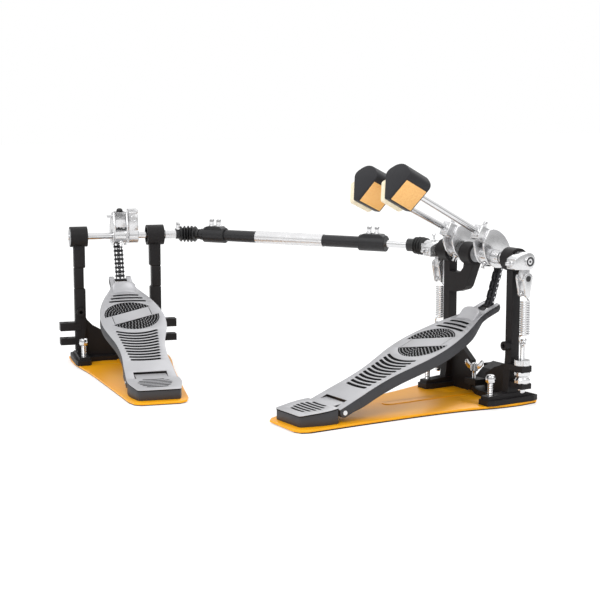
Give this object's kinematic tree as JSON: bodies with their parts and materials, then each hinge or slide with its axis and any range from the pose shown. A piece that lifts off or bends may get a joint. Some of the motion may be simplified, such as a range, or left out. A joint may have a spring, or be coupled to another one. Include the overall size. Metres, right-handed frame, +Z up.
{
  "type": "double bass drum pedal",
  "caption": "Two foot pedals joined by a jointed drive shaft, so that both feet swing beaters side by side at one bass drum.",
  "frame": {"origin": "underside of the main pedal's grip sheet, on the footboard's centre line, straight below the axle", "axes": "+X along the main axle away from the slave pedal, +Y toward the drum, +Z up"},
  "size_m": [0.6507, 0.4716, 0.314],
  "materials": {
    "gold_plate": "satin",
    "grip_rubber": "matt",
    "black_casting": "painted satin black",
    "board_alloy": "satin with grey sides",
    "bright_steel": "polished",
    "hub_alloy": "bright cast",
    "chain_steel": "black oxide",
    "spring_steel": "bright",
    "shaft_black": "black satin",
    "sleeve_silver": "satin",
    "boot_rubber": "matt",
    "head_black": "satin",
    "head_wood": "bare",
    "head_felt": "felt"
  },
  "bodies": {
    "main_frame": {"main_base_plate": "gold_plate", "main_grip_sheet": "grip_rubber", "main_casting": "black_casting", "main_heel_plate": "board_alloy", "main_hinge_pin": "bright_steel", "main_bearings": "bright_steel", "spring_tensioners": "bright_steel", "main_boot": "boot_rubber"},
    "main_axle": {"main_axle": "bright_steel", "main_cam_hub": "hub_alloy", "main_rocker_arm": "hub_alloy", "main_axle_bolts": "bright_steel", "main_cam_chain": "chain_steel"},
    "second_axle": {"second_axle": "bright_steel", "second_cam_hub": "hub_alloy", "second_rocker_arm": "hub_alloy", "second_axle_bolts": "bright_steel", "second_yoke": "hub_alloy"},
    "shaft_rod": {"shaft_rod": "bright_steel"},
    "slave_frame": {"slave_base_plate": "gold_plate", "slave_grip_sheet": "grip_rubber", "slave_casting": "black_casting", "slave_heel_plate": "board_alloy", "slave_hinge_pin": "bright_steel", "slave_bearings": "bright_steel", "slave_boot": "boot_rubber"},
    "shaft_tube": {"shaft_tube": "shaft_black", "shaft_sleeve": "sleeve_silver", "shaft_collars": "shaft_black", "shaft_bolts": "bright_steel"},
    "slave_axle": {"slave_axle": "bright_steel", "slave_cam_hub": "hub_alloy", "slave_drive_block": "hub_alloy", "slave_axle_bolts": "bright_steel", "slave_cam_chain": "chain_steel", "slave_yoke": "hub_alloy"},
    "clamp_lever": {"hoop_clamp_lever": "black_casting"},
    "wing_bolt": {"hoop_wing_bolt": "bright_steel"},
    "main_spurs": {"main_spurs": "bright_steel"},
    "slave_spurs": {"slave_spurs": "bright_steel"},
    "main_footboard": {"main_footboard": "board_alloy"},
    "main_chain_span": {"main_chain_span": "chain_steel"},
    "main_chain_segment_1": {"main_chain_segment_1": "chain_steel"},
    "main_chain_segment_2": {"main_chain_segment_2": "chain_steel"},
    "slave_footboard": {"slave_footboard": "board_alloy"},
    "slave_chain_span": {"slave_chain_span": "chain_steel"},
    "slave_chain_segment_1": {"slave_chain_segment_1": "chain_steel"},
    "slave_chain_segment_2": {"slave_chain_segment_2": "chain_steel"},
    "main_spring": {"main_spring": "spring_steel"},
    "main_spring_link": {"main_spring_link": "bright_steel"},
    "main_beater": {"main_beater_rod": "bright_steel"},
    "main_beater_head": {"main_beater_head": "head_black", "main_beater_wood": "head_wood", "main_beater_felt": "head_felt"},
    "second_spring": {"second_spring": "spring_steel"},
    "second_spring_link": {"second_spring_link": "bright_steel"},
    "second_beater": {"second_beater_rod": "bright_steel"},
    "second_beater_head": {"second_beater_head": "head_black", "second_beater_wood": "head_wood", "second_beater_felt": "head_felt"}
  },
  "joints": [
    {"name": "main_axle_turn", "type": "hinge", "parent": "main_frame", "child": "main_axle", "pos_m": [0, 0, 0.19], "axis": [-1, 0, 0], "range_deg": [0, 63.6], "stiffness_Nm_per_rad": 0.6, "springref_deg": -34.38},
    {"name": "main_board_press", "type": "hinge", "parent": "main_frame", "child": "main_footboard", "pos_m": [0, -0.2495, 0.017], "axis": [-1, 0, 0], "range_deg": [0, 5.48]},
    {"name": "main_span_swing", "type": "hinge", "parent": "main_footboard", "child": "main_chain_span", "pos_m": [0, 0, 0.12343], "axis": [-1, 0, 0], "range_deg": [-15.93, 0]},
    {"name": "main_segment_1_bend", "type": "hinge", "parent": "main_chain_span", "child": "main_chain_segment_1", "pos_m": [0, 0.01908, 0.18399], "axis": [-1, 0, 0], "range_deg": [0, 18.56]},
    {"name": "main_segment_2_bend", "type": "hinge", "parent": "main_chain_segment_1", "child": "main_chain_segment_2", "pos_m": [0, 0.01885, 0.19669], "axis": [-1, 0, 0], "range_deg": [0, 37.07]},
    {"name": "main_spring_tilt", "type": "hinge", "parent": "main_frame", "child": "main_spring", "pos_m": [0.069, 0, 0.0846], "axis": [1, 0, 0], "range_deg": [0, 12.73]},
    {"name": "main_spring_stretch", "type": "slide", "parent": "main_spring", "child": "main_spring_link", "axis": [0, 0, 1], "range_m": [0, 0.01218], "deforming": ["main_spring"]},
    {"name": "main_beater_height", "type": "slide", "parent": "main_axle", "child": "main_beater", "axis": [0, -0.8854, 0.4648], "range_m": [-0.006, 0.03]},
    {"name": "main_beater_turn", "type": "hinge", "parent": "main_beater", "child": "main_beater_head", "pos_m": [0, -0.13726, 0.28352], "axis": [0, -0.8854, 0.4648], "range_deg": [-180, 180]},
    {"name": "second_axle_turn", "type": "hinge", "parent": "main_frame", "child": "second_axle", "pos_m": [-0.064, 0, 0.19], "axis": [-1, 0, 0], "range_deg": [0, 63.6], "stiffness_Nm_per_rad": 0.6, "springref_deg": -34.38},
    {"name": "second_spring_tilt", "type": "hinge", "parent": "main_frame", "child": "second_spring", "pos_m": [-0.106, 0, 0.0846], "axis": [1, 0, 0], "range_deg": [0, 12.73]},
    {"name": "second_spring_stretch", "type": "slide", "parent": "second_spring", "child": "second_spring_link", "axis": [0, 0, 1], "range_m": [0, 0.01218], "deforming": ["second_spring"]},
    {"name": "second_beater_height", "type": "slide", "parent": "second_axle", "child": "second_beater", "axis": [0, -0.9011, 0.4337], "range_m": [-0.006, 0.03]},
    {"name": "second_beater_turn", "type": "hinge", "parent": "second_beater", "child": "second_beater_head", "pos_m": [-0.064, -0.14044, 0.27867], "axis": [0, -0.9011, 0.4337], "range_deg": [-180, 180]},
    {"name": "shaft_rod_turn", "type": "hinge", "parent": "main_frame", "child": "shaft_rod", "pos_m": [-0.152, 0, 0.19], "axis": [-0.8572, -0.515, 0], "range_deg": [0, 63.65]},
    {"name": "shaft_extension", "type": "slide", "parent": "main_frame", "child": "slave_frame", "axis": [-0.8572, -0.515, 0], "range_m": [-0.03, 0.03]},
    {"name": "shaft_tube_turn", "type": "hinge", "parent": "slave_frame", "child": "shaft_tube", "pos_m": [-0.47087, -0.19159, 0.19], "axis": [-0.8572, -0.515, 0], "range_deg": [0, 63.65]},
    {"name": "slave_axle_turn", "type": "hinge", "parent": "slave_frame", "child": "slave_axle", "pos_m": [-0.50036, -0.29445, 0.19], "axis": [-0.2756, -0.9613, 0], "range_deg": [0, 63.65]},
    {"name": "slave_board_press", "type": "hinge", "parent": "slave_frame", "child": "slave_footboard", "pos_m": [-0.26053, -0.36322, 0.017], "axis": [-0.2756, -0.9613, 0], "range_deg": [0, 5.48]},
    {"name": "slave_span_swing", "type": "hinge", "parent": "slave_footboard", "child": "slave_chain_span", "pos_m": [-0.50036, -0.29445, 0.12343], "axis": [-0.2756, -0.9613, 0], "range_deg": [-15.93, 0]},
    {"name": "slave_segment_1_bend", "type": "hinge", "parent": "slave_chain_span", "child": "slave_chain_segment_1", "pos_m": [-0.5187, -0.28919, 0.18399], "axis": [-0.2756, -0.9613, 0], "range_deg": [0, 18.56]},
    {"name": "slave_segment_2_bend", "type": "hinge", "parent": "slave_chain_segment_1", "child": "slave_chain_segment_2", "pos_m": [-0.51848, -0.28925, 0.19669], "axis": [-0.2756, -0.9613, 0], "range_deg": [0, 37.07]},
    {"name": "clamp_bolt_turn", "type": "hinge", "parent": "clamp_lever", "child": "wing_bolt", "pos_m": [-0.01875, -0.007, 0.03], "axis": [0, 0, 1], "range_deg": [0, 1080]},
    {"name": "clamp_lever_tilt", "type": "hinge", "parent": "main_frame", "child": "clamp_lever", "pos_m": [-0.01875, 0.031, 0.034], "axis": [1, 0, 0], "range_deg": [0, 5.05]},
    {"name": "main_spur_travel", "type": "slide", "parent": "main_frame", "child": "main_spurs", "axis": [0, 0, 1], "range_m": [-0.005, 0.004]},
    {"name": "slave_spur_travel", "type": "slide", "parent": "slave_frame", "child": "slave_spurs", "axis": [0, 0, 1], "range_m": [-0.005, 0.004]}
  ],
  "couplings": [
    {"joint": "main_board_press", "follows": "main_axle_turn", "ratio": 0.085436},
    {"joint": "main_span_swing", "follows": "main_axle_turn", "ratio": -0.24965},
    {"joint": "main_segment_1_bend", "follows": "main_axle_turn", "ratio": 0.29105},
    {"joint": "main_segment_2_bend", "follows": "main_axle_turn", "ratio": 0.58211},
    {"joint": "main_spring_tilt", "follows": "main_axle_turn", "ratio": 0.19939},
    {"joint": "main_spring_stretch", "follows": "main_axle_turn", "m_per_rad": 0.010795},
    {"joint": "second_spring_tilt", "follows": "second_axle_turn", "ratio": 0.19939},
    {"joint": "second_spring_stretch", "follows": "second_axle_turn", "m_per_rad": 0.010795},
    {"joint": "shaft_rod_turn", "follows": "second_axle_turn", "ratio": 1},
    {"joint": "shaft_tube_turn", "follows": "second_axle_turn", "ratio": 1},
    {"joint": "slave_axle_turn", "follows": "second_axle_turn", "ratio": 1},
    {"joint": "slave_board_press", "follows": "second_axle_turn", "ratio": 0.085436},
    {"joint": "slave_span_swing", "follows": "second_axle_turn", "ratio": -0.24965},
    {"joint": "slave_segment_1_bend", "follows": "second_axle_turn", "ratio": 0.29105},
    {"joint": "slave_segment_2_bend", "follows": "second_axle_turn", "ratio": 0.58211},
    {"joint": "clamp_lever_tilt", "follows": "clamp_bolt_turn", "ratio": 0.00463}
  ]
}
